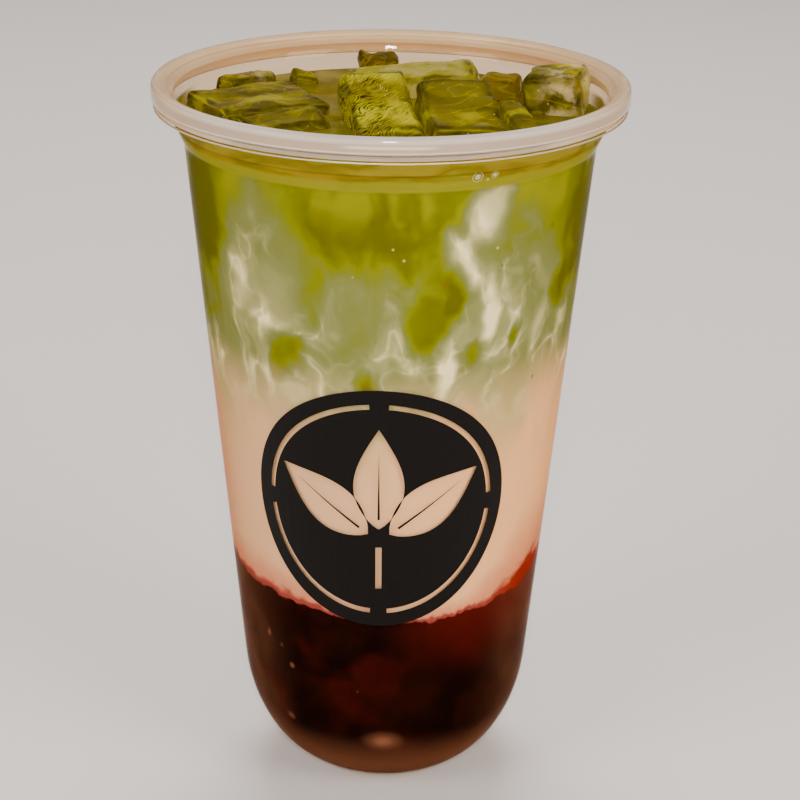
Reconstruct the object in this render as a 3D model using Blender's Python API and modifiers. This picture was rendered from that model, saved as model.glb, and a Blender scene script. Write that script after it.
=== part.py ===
"""Iced matcha latte in a clear takeaway cup.

A U-shaped cup with a beaded rim holds, from the bottom up, a lumpy berry jam, a band of milk and the
matcha drink, with ice breaking its surface. A dark badge with a sprig of tea leaves is printed on the
front. The cup stands on the origin, +Z is up and the badge faces -Y.
"""

import math

import bmesh
import bpy
from mathutils import Euler, Matrix, Vector, noise

# Lengths are in metres
MM = 0.001

# Cup: a flat base, an elliptical bottom, a straight taper, a shoulder and a flared neck under the rim
FACETS = 40
WALL = 0.7 * MM
BASE_RADIUS = 10.1 * MM
BOTTOM_WIDTH = 18.9 * MM
BOTTOM_HEIGHT = 27.0 * MM
BOTTOM_STEPS = 8
SHOULDER_RADIUS = 39.05 * MM
SHOULDER_HEIGHT = 130.8 * MM
NECK_RADIUS = 40.4 * MM
NECK_HEIGHT = 133.7 * MM
NECK_TOP_RADIUS = 41.5 * MM

# Rim: a bead that rises from the mouth to its crest, and a skirt that hangs from its edge below a fine step
RIM_HEIGHT = 142.1 * MM
RIM_RADIUS = 45.0 * MM
MOUTH_HEIGHT = 140.3 * MM
MOUTH_CHAMFER = 0.3 * MM
BEAD_THICKNESS = 0.9 * MM
BEAD_STEPS = 3
EDGE_ROUNDING = 1.0 * MM
EDGE_STEPS = 3
STEP_HEIGHT = 139.1 * MM
STEP_DEPTH = 0.4 * MM
SKIRT_HEIGHT = 137.3 * MM
SKIRT_WALL = 0.8 * MM

# Contents: the level of each layer, and how its surface rises and falls
GAP = 0.3 * MM
LAYER_GAP = 0.4 * MM
RINGS = 5
JAM_LEVEL = 45.0 * MM
JAM_SWELL = 1.5 * MM
JAM_LUMPS = 1.3 * MM
JAM_LUMP_SIZE = 9.0 * MM
JAM_DIP = math.radians(8)
JAM_SEED = 3.0
MILK_LEVEL = 89.4 * MM
MILK_SWELL = 2.5 * MM
MILK_LUMPS = 2.0 * MM
MILK_LUMP_SIZE = 17.0 * MM
MILK_SEED = 8.0
DRINK_LEVEL = 134.4 * MM

# Badge: a round field on the front of the cup, with a broken ring line and a sprig of three leaves
BADGE_RADIUS = 25.0 * MM
BADGE_HEIGHT = 67.8 * MM
BADGE_TURN = math.radians(-2.5)
BADGE_THICKNESS = 0.3 * MM
RING_RADIUS = 22.2 * MM
RING_WIDTH = 1.0 * MM
RING_ARCS = 4
RING_BRIDGE = math.radians(9)
LEAF_LENGTH = 21.0 * MM
LEAF_WIDTH = 9.4 * MM
LEAF_FULLNESS = 0.8
LEAF_STEPS = 5
LEAF_SPREAD = math.radians(52)
LEAF_START = 2.6 * MM
SPRIG_HEIGHT = -6.5 * MM
STALK_LENGTH = 9.0 * MM
STALK_WIDTH = 1.2 * MM
OUTLINE_STEP = math.radians(12)

# Ice: name, middle of the top face, length, width and depth, turn, tilt and roll in degrees, rounding
ICE = (
    ("ice_left_slab", (-25.4, 5.7, 136.7), (22.0, 19.6, 11.0), (27, 1, -1), 2.0),
    ("ice_back_left", (-28.6, 22.4, 137.0), (12.0, 6.2, 8.0), (52, 2, 3), 1.6),
    ("ice_small_peak", (-17.3, 28.1, 136.2), (4.5, 4.0, 5.0), (20, 12, 8), 1.1),
    ("ice_back_slab", (4.1, 22.4, 138.5), (26.0, 13.0, 11.0), (3, 1, -3), 2.6),
    ("ice_crushed", (-2.7, 33.3, 139.1), (8.0, 5.5, 8.0), (4, 8, -6), 1.3),
    ("ice_middle_cube", (-1.7, -6.3, 139.1), (12.2, 21.5, 14.0), (10, 21, 0), 2.2),
    ("ice_right_slab", (13.2, -5.6, 138.3), (14.2, 19.5, 12.0), (9, 17, 2), 1.8),
    ("ice_knob", (21.6, 13.2, 139.9), (7.5, 7.0, 9.0), (-12, 5, 3), 2.2),
    ("ice_right_low", (24.1, -5.1, 136.4), (4.8, 22.0, 7.0), (11, 3, 4), 1.5),
    ("ice_right_cube", (31.5, 9.3, 141.4), (10.5, 11.0, 14.0), (-14, 3, -6), 1.8),
    ("ice_front_left", (-19.7, -8.8, 136.1), (15.0, 8.6, 9.0), (27, 3, -1), 1.4),
    ("ice_front_right", (17.6, -25.8, 136.0), (13.0, 11.0, 9.0), (28, -6, -4), 2.0),
)
ICE_UNEVEN = 0.7 * MM
ICE_WAVE_SIZE = 8.0 * MM
ICE_WAVE_SHIFTS = ((9.3, -1.5, -7.9), (4.7, 2.3, 5.1), (-3.2, 6.8, 1.4))
ICE_ROUNDING_STEPS = 2
ICE_SEED_STEP = 7.3
ICE_EDGE = math.radians(60)
ICE_CLEARANCE = 0.345 * MM
ICE_SHARP = math.radians(50)

# Colours are linear, and each material has its roughness
PLASTIC = ((0.78, 0.74, 0.70), 0.25)
JAM = ((0.09, 0.012, 0.010), 0.35)
MILK = ((0.78, 0.68, 0.60), 0.40)
MATCHA = ((0.32, 0.36, 0.09), 0.30)
ICE_LOOK = ((0.42, 0.46, 0.06), 0.12)
INK = ((0.006, 0.006, 0.006), 0.45)


def clear_scene():
    """Removes every object of the open file."""
    for old in list(bpy.data.objects):
        bpy.data.objects.remove(old, do_unlink=True)


def new_collection(name):
    """A new collection in the scene."""
    collection = bpy.data.collections.new(name)
    bpy.context.scene.collection.children.link(collection)
    return collection


def material(name, look):
    """A plain Principled material of one colour and roughness."""
    colour, roughness = look
    made = bpy.data.materials.new(name)
    made.use_nodes = True
    shader = made.node_tree.nodes["Principled BSDF"]
    shader.inputs["Base Color"].default_value = (*colour, 1.0)
    shader.inputs["Roughness"].default_value = roughness
    shader.inputs["Metallic"].default_value = 0.0
    made.diffuse_color = (*colour, 1.0)
    return made


def new_object(name, mesh, collection, surface=None):
    """An object that shows a mesh, in a collection."""
    made = bpy.data.objects.new(name, mesh)
    collection.objects.link(made)
    if surface is not None:
        mesh.materials.append(surface)
    return made


def turned(name, profile, collection, surface):
    """A solid turned about Z from a profile of (radius, height) that ends down its outer side."""
    mesh = bpy.data.meshes.new(name)
    points = [(radius, 0.0, height) for radius, height in profile]
    mesh.from_pydata(points, [(i, i + 1) for i in range(len(points) - 1)], [])
    made = new_object(name, mesh, collection, surface)
    turn = made.modifiers.new("Turn", "SCREW")
    turn.steps = FACETS
    turn.render_steps = FACETS
    turn.use_merge_vertices = True
    turn.merge_threshold = 0.00001
    return made


def apply_modifiers(made):
    """Gives an object the mesh that its modifiers make."""
    graph = bpy.context.evaluated_depsgraph_get()
    made.data = bpy.data.meshes.new_from_object(made.evaluated_get(graph))
    made.modifiers.clear()


def shade_round(made, angle=math.radians(35)):
    """Smooth shading with the true edges kept sharp."""
    made.data.shade_smooth()
    made.data.set_sharp_from_angle(angle=angle)


# Cup section


def taper_contact():
    """The angle on the bottom's ellipse at which the line to the shoulder touches it."""
    across = (SHOULDER_RADIUS - BASE_RADIUS) / BOTTOM_WIDTH
    above = (SHOULDER_HEIGHT - BOTTOM_HEIGHT) / BOTTOM_HEIGHT
    return math.acos(1.0 / math.hypot(across, above)) - math.atan2(above, across)


def bead_height(radius):
    """The height of the bead's top between the mouth and its crest."""
    share = (radius - NECK_TOP_RADIUS + WALL) / (RIM_RADIUS - EDGE_ROUNDING - NECK_TOP_RADIUS + WALL)
    return MOUTH_HEIGHT + (RIM_HEIGHT - MOUTH_HEIGHT) * math.sin(math.pi / 2 * share)


def outer_wall():
    """The cup's outer side, from the middle of the base up to the bead, as (radius, height)."""
    contact = taper_contact()
    points = [(0.0, 0.0), (BASE_RADIUS, 0.0)]
    for step in range(1, BOTTOM_STEPS + 1):
        angle = math.pi / 2 + (contact - math.pi / 2) * step / BOTTOM_STEPS
        radius = BASE_RADIUS + BOTTOM_WIDTH * math.cos(angle)
        points.append((radius, BOTTOM_HEIGHT * (1.0 - math.sin(angle))))
    points.append((SHOULDER_RADIUS, SHOULDER_HEIGHT))
    points.append((NECK_RADIUS, NECK_HEIGHT))
    points.append((NECK_TOP_RADIUS, bead_height(NECK_TOP_RADIUS) - BEAD_THICKNESS))
    return points


def inset(line, distance):
    """A line of (radius, height) moved in from the cup's outer side by a distance square to it."""
    moved = []
    for index, (radius, height) in enumerate(line):
        normals = []
        for start, end in ((index - 1, index), (index, index + 1)):
            if start >= 0 and end < len(line):
                along = Vector(line[end]) - Vector(line[start])
                normals.append(Vector((-along.y, along.x)).normalized())
        inward = sum(normals, Vector((0.0, 0.0))).normalized()
        reach = distance / inward.dot(normals[0])
        moved.append((radius + inward.x * reach, height + inward.y * reach))
    moved[0] = (0.0, moved[0][1])
    return moved


def radius_at(line, height):
    """The radius of a rising line at a height."""
    for (radius_0, height_0), (radius_1, height_1) in zip(line[1:], line[2:]):
        if height_0 <= height <= height_1:
            share = (height - height_0) / (height_1 - height_0)
            return radius_0 + (radius_1 - radius_0) * share
    return line[-1][0]


def rim_section():
    """The rim from its mouth over the bead and the skirt to the underside, as (radius, height)."""
    mouth = inset(outer_wall(), WALL)[-1][0] + MOUTH_CHAMFER
    crest = RIM_RADIUS - EDGE_ROUNDING
    skirt = RIM_RADIUS - STEP_DEPTH
    bead = [mouth + (crest - mouth) * step / BEAD_STEPS for step in range(BEAD_STEPS)]
    points = [(radius, bead_height(radius)) for radius in bead]
    for step in range(EDGE_STEPS + 1):
        angle = math.pi / 2 * (1.0 - step / EDGE_STEPS)
        radius = crest + EDGE_ROUNDING * math.cos(angle)
        points.append((radius, RIM_HEIGHT - EDGE_ROUNDING * (1.0 - math.sin(angle))))
    points.append((RIM_RADIUS, STEP_HEIGHT))
    points.append((skirt, STEP_HEIGHT - STEP_DEPTH / 2))
    points.append((skirt, SKIRT_HEIGHT))
    points.append((skirt - SKIRT_WALL, SKIRT_HEIGHT))
    points += [(radius, bead_height(radius) - BEAD_THICKNESS) for radius in (skirt - SKIRT_WALL, bead[-1])]
    return points


def make_cup(collection):
    """The clear cup, one wall from the base to the skirt of its rim."""
    outer = outer_wall()
    inner = inset(outer, WALL)
    inner[-1] = (inner[-1][0], MOUTH_HEIGHT - MOUTH_CHAMFER)
    section = inner + rim_section() + outer[::-1]
    cup = turned("cup", section, collection, material("clear_plastic", PLASTIC))
    shade_round(cup)


# Layers


def front_angle(x, y):
    """The angle round the cup from its front, growing towards +X."""
    return math.atan2(x, -y)


def lumps(x, y, size, seed):
    """Smooth lumps between about -1 and 1, of a size, in the plane of a layer."""
    return noise.noise(Vector((x / size, y / size, seed)))


def jam_surface(x, y):
    """The height of the jam's top, which dips at the front and the back and is lumpy all over."""
    swell = -JAM_SWELL * math.cos(2.0 * (front_angle(x, y) - JAM_DIP))
    share = math.hypot(x, y) / SHOULDER_RADIUS
    return JAM_LEVEL + swell * share + JAM_LUMPS * lumps(x, y, JAM_LUMP_SIZE, JAM_SEED)


def milk_surface(x, y):
    """The height at which the milk turns to matcha, in slow waves."""
    swell = MILK_SWELL * math.sin(3.0 * front_angle(x, y))
    share = math.hypot(x, y) / SHOULDER_RADIUS
    return MILK_LEVEL + swell * share + MILK_LUMPS * lumps(x, y, MILK_LUMP_SIZE, MILK_SEED)


def disc(level, radius):
    """The points of a flat disc's profile, from near the axis to near its edge."""
    return [(radius * ring / RINGS, level) for ring in range(1, RINGS)]


def shape_face(mesh, level, surface, offset, wall):
    """Gives the flat face of a layer at a level the height of a surface, as wide as the wall there."""
    width = radius_at(wall, level)
    solid = bmesh.new()
    solid.from_mesh(mesh)
    face = [vertex for vertex in solid.verts if abs(vertex.co.z - level) < MM / 100]
    for vertex in face:
        at_wall = vertex.co.xy.length > width * math.cos(math.pi / FACETS / 2)
        vertex.co.z = surface(vertex.co.x, vertex.co.y) + offset
        if at_wall:
            vertex.co.xy *= radius_at(wall, vertex.co.z) / width
    bmesh.ops.triangulate(solid, faces=solid.faces[:], quad_method="SHORT_EDGE")
    solid.to_mesh(mesh)
    solid.free()


def layer(name, below, above, wall, collection, surface):
    """A solid that fills the cup between two levels, with rings over each face that isn't the base."""
    low, high = below or 0.0, above
    side = [point for point in wall[1:] if low < point[1] < high]
    foot = [(0.0, wall[0][1])]
    if below is not None:
        foot = [(0.0, low), *disc(low, radius_at(wall, low)), (radius_at(wall, low), low)]
    head = [(0.0, high), *disc(high, radius_at(wall, high)), (radius_at(wall, high), high)]
    return turned(name, head + side[::-1] + foot[::-1], collection, surface)


def drop_scraps(mesh):
    """Keeps the largest body of a mesh, without the scraps that a cut left loose."""
    solid = bmesh.new()
    solid.from_mesh(mesh)
    waiting = set(solid.verts)
    bodies = []
    while waiting:
        body, front = set(), [waiting.pop()]
        while front:
            vertex = front.pop()
            body.add(vertex)
            near = {edge.other_vert(vertex) for edge in vertex.link_edges} & waiting
            waiting -= near
            front.extend(near)
        bodies.append(body)
    largest = max(bodies, key=len)
    scraps = [vertex for vertex in solid.verts if vertex not in largest]
    bmesh.ops.delete(solid, geom=scraps, context="VERTS")
    solid.to_mesh(mesh)
    solid.free()


def make_layers(collection, cutters):
    """The jam, the milk and the matcha, each clear of its neighbours and of the cup."""
    wall = inset(outer_wall(), WALL + GAP)
    jam = layer("berry_jam", None, JAM_LEVEL, wall, collection, material("berry_jam", JAM))
    milk = layer("milk", JAM_LEVEL, MILK_LEVEL, wall, collection, material("milk", MILK))
    drink = layer("matcha", MILK_LEVEL, DRINK_LEVEL, wall, collection, material("matcha", MATCHA))
    for made in (jam, milk, drink):
        apply_modifiers(made)
    shape_face(jam.data, JAM_LEVEL, jam_surface, -LAYER_GAP / 2, wall)
    shape_face(milk.data, JAM_LEVEL, jam_surface, LAYER_GAP / 2, wall)
    shape_face(milk.data, MILK_LEVEL, milk_surface, -LAYER_GAP / 2, wall)
    shape_face(drink.data, MILK_LEVEL, milk_surface, LAYER_GAP / 2, wall)
    cut = drink.modifiers.new("Round the ice", "BOOLEAN")
    cut.operation = "DIFFERENCE"
    cut.operand_type = "COLLECTION"
    cut.collection = cutters
    cut.solver = "EXACT"
    apply_modifiers(drink)
    drop_scraps(drink.data)
    for made in (jam, milk, drink):
        shade_round(made)


# Ice


def wave_at(place, seed):
    """How far the ice bulges at a place, as a vector of smooth lumps."""
    point = place / ICE_WAVE_SIZE + Vector((seed, 0.0, 0.0))
    return Vector([noise.noise(point + Vector(shift)) for shift in ICE_WAVE_SHIFTS])


def ice_block(size, rounding, seed):
    """A rounded, uneven block with its top face at the origin."""
    length, width, depth = size
    block = bmesh.new()
    bmesh.ops.create_cube(block, size=1.0)
    bmesh.ops.subdivide_edges(block, edges=block.edges[:], cuts=1, use_grid_fill=True)
    bmesh.ops.translate(block, verts=block.verts[:], vec=(0.0, 0.0, -0.5))
    bmesh.ops.scale(block, verts=block.verts[:], vec=(length, width, depth))
    edges = [edge for edge in block.edges if edge.calc_face_angle() > ICE_EDGE]
    bmesh.ops.bevel(
        block, geom=edges, offset=rounding, segments=ICE_ROUNDING_STEPS, profile=0.5, affect="EDGES"
    )
    for vertex in block.verts:
        vertex.co += wave_at(vertex.co, seed) * ICE_UNEVEN
    bmesh.ops.triangulate(block, faces=block.faces[:], quad_method="SHORT_EDGE")
    return block


def press_on_wall(block, wall):
    """Flattens a block against the cup where it reaches the wall, with an edge at the shoulder's height."""
    shoulder = wall[-3][1]
    geometry = block.verts[:] + block.edges[:] + block.faces[:]
    bmesh.ops.bisect_plane(
        block, geom=geometry, dist=MM / 100, plane_co=(0.0, 0.0, shoulder), plane_no=(0.0, 0.0, 1.0)
    )
    for vertex in block.verts:
        limit = radius_at(wall, vertex.co.z) * math.cos(math.pi / FACETS)
        vertex.co.xy *= min(1.0, limit / vertex.co.xy.length)
    bmesh.ops.triangulate(block, faces=block.faces[:], quad_method="SHORT_EDGE")


def make_ice(collection, cutters):
    """The ice, kept inside the cup, and for each piece a grown copy that cuts the drink round it."""
    surface = material("tinted_ice", ICE_LOOK)
    wall = inset(outer_wall(), WALL + GAP)
    for seed, (name, top, size, angles, rounding) in enumerate(ICE):
        turn, tilt, roll = (math.radians(angle) for angle in angles)
        place = Matrix.LocRotScale(Vector(top) * MM, Euler((tilt, roll, turn), "XYZ"), None)
        scaled = [side * MM for side in size]
        for growth, target, look in ((0.0, collection, surface), (ICE_CLEARANCE, cutters, None)):
            block = ice_block(scaled, rounding * MM, seed * ICE_SEED_STEP)
            bmesh.ops.transform(block, matrix=place, verts=block.verts[:])
            if look:
                press_on_wall(block, wall)
            block.normal_update()
            for vertex in block.verts:
                vertex.co += vertex.normal * growth
            title = name if look else name + "_clearance"
            mesh = bpy.data.meshes.new(title)
            block.to_mesh(mesh)
            block.free()
            made = new_object(title, mesh, target, look)
            if look:
                shade_round(made, ICE_SHARP)
            else:
                made.hide_render = True
                made.display_type = "WIRE"


# Badge


def closed_spline(curve, points):
    """Adds a closed outline of (across, up) points to a flat curve."""
    spline = curve.splines.new("POLY")
    spline.points.add(len(points) - 1)
    for point, (across, up) in zip(spline.points, points):
        point.co = (across, up, 0.0, 1.0)
    spline.use_cyclic_u = True


def arc(radius, start, end):
    """Points of an arc about the badge's middle, from one angle to another."""
    steps = max(2, round(abs(end - start) / OUTLINE_STEP))
    angles = [start + (end - start) * step / steps for step in range(steps + 1)]
    return [(radius * math.cos(angle), radius * math.sin(angle)) for angle in angles]


def leaf(lean):
    """A pointed leaf that leans to one side of the sprig."""
    side = []
    for step in range(LEAF_STEPS + 1):
        along = step / LEAF_STEPS
        half = LEAF_WIDTH / 2 * math.sin(math.pi * along ** LEAF_FULLNESS)
        side.append((half, LEAF_START + LEAF_LENGTH * along))
    outline = side + [(-half, up) for half, up in side[-2:0:-1]]
    turn = Matrix.Rotation(-lean, 2)
    return [turn @ Vector(point) + Vector((0.0, SPRIG_HEIGHT)) for point in outline]


def badge_outlines():
    """The round field, then each opening in it: the ring's arcs, the leaves and the stalk."""
    full = 2.0 * math.pi
    outlines = [arc(BADGE_RADIUS, 0.0, full)[:-1]]
    for index in range(RING_ARCS):
        start = full * index / RING_ARCS + RING_BRIDGE / 2
        end = full * (index + 1) / RING_ARCS - RING_BRIDGE / 2
        inside = arc(RING_RADIUS - RING_WIDTH, end, start)
        outlines.append(arc(RING_RADIUS, start, end) + inside)
    outlines += [leaf(lean) for lean in (-LEAF_SPREAD, 0.0, LEAF_SPREAD)]
    top = SPRIG_HEIGHT - STALK_WIDTH
    stalk = STALK_WIDTH / 2
    outlines.append([(-stalk, top - STALK_LENGTH), (stalk, top - STALK_LENGTH), (stalk, top), (-stalk, top)])
    return outlines


def wrap_on_cup(mesh):
    """Bends a flat mesh of (across, up, depth) round the flat facets of the cup's front."""
    wall = outer_wall()
    middle = radius_at(wall, BADGE_HEIGHT)
    facet = 2.0 * math.pi / FACETS
    for vertex in mesh.verts:
        angle = vertex.co.x / middle + BADGE_TURN
        height = BADGE_HEIGHT + vertex.co.y
        off_middle = (angle % facet) - facet / 2
        radius = radius_at(wall, height) * math.cos(facet / 2) / math.cos(off_middle)
        radius += GAP + BADGE_THICKNESS / 2 + vertex.co.z
        vertex.co = (radius * math.sin(angle), -radius * math.cos(angle), height)


def make_badge(collection):
    """The printed badge as a thin skin just off the cup's front, cut at each facet's edge."""
    curve = bpy.data.curves.new("badge", "CURVE")
    curve.dimensions = "2D"
    curve.fill_mode = "BOTH"
    curve.extrude = BADGE_THICKNESS / 2
    for outline in badge_outlines():
        closed_spline(curve, outline)
    flat = new_object("badge_outline", curve, collection)
    graph = bpy.context.evaluated_depsgraph_get()
    mesh = bpy.data.meshes.new_from_object(flat.evaluated_get(graph))
    bpy.data.objects.remove(flat, do_unlink=True)
    skin = bmesh.new()
    skin.from_mesh(mesh)
    bmesh.ops.remove_doubles(skin, verts=skin.verts[:], dist=MM / 100)
    middle = radius_at(outer_wall(), BADGE_HEIGHT)
    for line in range(-FACETS // 4, FACETS // 4 + 1):
        across = (2.0 * math.pi * line / FACETS - BADGE_TURN) * middle
        geometry = skin.verts[:] + skin.edges[:] + skin.faces[:]
        bmesh.ops.bisect_plane(
            skin, geom=geometry, dist=MM / 1000, plane_co=(across, 0.0, 0.0), plane_no=(1.0, 0.0, 0.0)
        )
    wrap_on_cup(skin)
    bmesh.ops.recalc_face_normals(skin, faces=skin.faces[:])
    skin.to_mesh(mesh)
    skin.free()
    mesh.name = "badge"
    new_object("badge", mesh, collection, material("dark_ink", INK))


def main():
    """Builds the drink in its cup."""
    clear_scene()
    parts = new_collection("iced_matcha_latte")
    cutters = new_collection("cutters")
    make_cup(parts)
    make_ice(parts, cutters)
    make_layers(parts, cutters)
    make_badge(parts)


main()
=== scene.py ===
"""Iced matcha latte in a clear takeaway cup, dressed over its CAD solids.

The cup stands on the origin, +Z is up and the badge faces -Y. Lengths are in metres, and a name that ends in
MM is in millimetres. Angles round the cup are in degrees from its front, growing towards +X.
"""

import math

import bmesh
import bpy
from bpy.props import FloatProperty, FloatVectorProperty, IntProperty, PointerProperty
from mathutils import Euler, Matrix, Vector, noise


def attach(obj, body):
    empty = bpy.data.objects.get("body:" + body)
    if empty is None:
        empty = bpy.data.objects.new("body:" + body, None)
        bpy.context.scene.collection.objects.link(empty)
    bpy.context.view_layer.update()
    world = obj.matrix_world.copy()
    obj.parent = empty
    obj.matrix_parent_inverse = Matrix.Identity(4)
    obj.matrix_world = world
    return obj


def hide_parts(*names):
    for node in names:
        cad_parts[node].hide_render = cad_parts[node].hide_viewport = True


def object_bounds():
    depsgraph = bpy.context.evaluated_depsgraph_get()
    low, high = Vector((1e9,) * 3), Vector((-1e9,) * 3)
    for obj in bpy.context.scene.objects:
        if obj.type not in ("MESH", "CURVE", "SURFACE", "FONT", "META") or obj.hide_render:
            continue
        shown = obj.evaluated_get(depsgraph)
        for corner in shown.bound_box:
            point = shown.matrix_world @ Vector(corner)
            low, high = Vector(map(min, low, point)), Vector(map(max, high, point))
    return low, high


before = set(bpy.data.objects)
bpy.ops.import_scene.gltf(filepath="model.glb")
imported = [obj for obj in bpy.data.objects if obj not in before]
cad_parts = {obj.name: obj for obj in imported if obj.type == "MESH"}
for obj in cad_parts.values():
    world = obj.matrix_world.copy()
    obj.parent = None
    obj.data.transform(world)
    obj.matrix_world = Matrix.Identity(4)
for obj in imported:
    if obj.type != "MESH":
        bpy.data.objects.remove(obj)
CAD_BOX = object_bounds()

bl_info = {
    "name": "Iced matcha latte",
    "version": (1, 0, 0),
    "blender": (4, 5, 0),
    "location": "View3D > Sidebar > Latte",
    "description": "Builds a layered iced matcha latte in its cup",
    "category": "Add Mesh",
}

MM = 0.001


def paint(red, green, blue):
    """A linear colour from the three numbers, up to 255, that a screen shows it with."""
    shares = [number / 255 for number in (red, green, blue)]
    return tuple(((share + 0.055) / 1.055) ** 2.4 if share > 0.04 else share / 12.92 for share in shares)


# Cup section, as (radius, height) in millimetres
BASE_RADIUS_MM = 10.1
BOTTOM_WIDTH_MM = 18.9
BOTTOM_HEIGHT_MM = 27.0
BOTTOM_STEPS = 20
FOOT_GAP_MM = 0.6
BODY_STEPS = (0.25, 0.5, 0.75, 0.97, 0.99)
SHOULDER_MM = (39.05, 130.8)
NECK_TOP_MM = (41.5, 139.87)
NECK_MM = ((39.25, 131.05), (40.2, 133.2), (40.4, 133.7), (40.52, 134.2), (41.0, 137.0), NECK_TOP_MM)
INNER_TOP_MM = 140.0
MOUTH_MM = (41.0, 140.3)
RIM_MM = (
    (41.6, 140.85), (42.3, 141.4), (43.1, 141.85), (44.0, 142.1), (44.55, 141.95), (44.87, 141.6),
    (45.0, 141.1), (45.0, 139.25), (44.9, 139.1), (44.6, 138.9), (44.6, 137.5), (44.5, 137.32),
    (44.2, 137.3), (43.85, 137.4), (43.8, 137.7), (43.8, 141.0), (43.1, 140.75), (42.3, 140.4),
)

# Where the rim's haze and the neck's tint start, and the angle at which the cup's edges stay sharp
RIM_HAZE_HEIGHT = 138.8 * MM
SKIRT_HEIGHT = 137.5 * MM
SKIRT_GAP = 0.6 * MM
NECK_TINT_RISE = 0.4 * MM
NECK_SHARE = 0.995
CUP_SHARP = math.radians(50)

# What the thickness of the wall takes from light, for each metre
WALL_TINT = (0.76, 0.5, 0.05)
WALL_DENSITY = 210.0

# Light lines painted round the rim's side as highlights where its edges catch the light: height and half
# width in millimetres, strength
RIM_HIGHLIGHT_LINES = ((141.5, 0.25, 0.6), (139.3, 0.22, 0.55), (137.5, 0.3, 0.45))

# A highlight painted on the front of the rim: height in millimetres, and the angles at which it is full and
# gone
RIM_PAINTED_HIGHLIGHT = (140.3, 7.0, 12.0)

# Layers
LAYER_RINGS = 12
WALL_SHARE = 0.99
DRINK_SHARP = math.radians(40)
MENISCUS_HEIGHT = 0.5 * MM
MENISCUS_WIDTH_MM = 0.8
JAM_SWELL = 1.5 * MM
JAM_LUMPS = 1.3 * MM
JAM_LUMP_SIZE = 9.0 * MM
JAM_DIP = math.radians(8)
JAM_SEED = 3.0
MILK_SWELL = 2.5 * MM
MILK_LUMPS = 2.0 * MM
MILK_LUMP_SIZE = 17.0 * MM
MILK_SEED = 8.0

# Streams and pockets of the marbling: angle, height, half width in degrees, half height in millimetres, lean
# in degrees and how much milk it adds or takes away
MARBLING = (
    (-6, 122.5, 19, 8, 0, -0.16), (10, 107.5, 7.5, 9, 20, -0.44), (-40, 120, 14, 17, 0, 0.3),
    (38, 118, 18, 17, 0, 0.27), (-66, 121, 9, 9, 4, -0.42), (-80, 112, 14, 17, 0, -0.36),
    (-41.5, 122, 4, 8, -8, 0.12), (-50, 108.5, 6, 9, 6, 0.08), (-31, 98.6, 10, 8, 0, 0.2),
    (-31, 98, 6.4, 5, 0, -0.6), (-23, 111, 4, 6, 0, -0.18), (-7.6, 93.6, 4.4, 2.6, 0, -0.7),
    (29.5, 126.5, 5.5, 5, 0, 0.5), (19.6, 118.6, 5.8, 5, -18, 0.55), (25, 122.5, 5, 4, 20, 0.2),
    (17, 112, 3.4, 4.4, 0, -0.45), (28.5, 108, 2.6, 8, 4, 0.25), (17.2, 97.4, 3, 8, 4, 0.42),
    (43.8, 108.4, 6, 5, 12, -0.26), (57, 107.5, 5, 4.6, 0, -0.42), (38.1, 101.4, 2.4, 2.6, 0, -0.5),
    (49.5, 99.6, 3, 6, -4, 0.2), (76, 114, 13, 15, 0, -0.6), (26, 100.6, 3.4, 3.4, 0, -0.34),
    (108, 118, 13, 8, 10, -0.25), (100, 103, 8, 9, -8, 0.26), (134, 114, 12, 12, 6, 0.42),
    (160, 122, 13, 7, 0, -0.2), (-172, 110, 10, 10, -8, 0.34), (-150, 119, 12, 8, 8, -0.25),
    (-126, 115, 10, 13, -6, 0.42), (-104, 118, 11, 8, 4, -0.2),
)

# Colours of the matcha by how much milk is in it
MATCHA_STOPS = (
    (0, "matcha_deep"), (0.12, "matcha"), (0.3, "matcha_green"), (0.42, "cloudy_green"),
    (0.56, "haze"), (0.72, "pale"), (0.9, "plume"), (1, "plume_bright"),
)

# Small dark specks, and pale bubbles on the wall painted with a highlight in a dark ring: angle, height and
# radius in millimetres
SPECKS = ((51.8, 120.8, 0.55), (33, 115.4, 0.35), (51, 90.8, 0.5), (16, 112.9, 0.9), (-29, 99.2, 0.3))
BEADS = (
    (1, 120.1, 0.28), (31, 119, 0.34), (-10, 114.6, 0.2), (4, 118, 0.3),
    (22.6, 133.2, 1), (27.4, 133.3, 0.7), (25.6, 132.5, 0.35),
)

# Pale flecks in the jam, the first two rows a highlight painted at the bottom front: angle, height, half
# width in degrees, half height in millimetres and strength
FLECKS_AND_HIGHLIGHT = (
    (-0.4, 14.9, 11, 3.4, 0.6), (-0.4, 14.9, 5, 1.7, 0.9), (-51, 34.9, 1.6, 1.2, 0.7),
    (-44, 33.4, 1, 0.6, 0.5), (-39.1, 29.6, 1.8, 0.9, 0.6), (-43.2, 16.9, 3, 1.2, 0.5),
    (-10.6, 27, 0.4, 0.3, 0.9), (122, 30, 1.6, 0.9, 0.6), (176, 21, 2.2, 1.2, 0.5),
    (-118, 26, 1.8, 0.8, 0.5),
)

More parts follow.
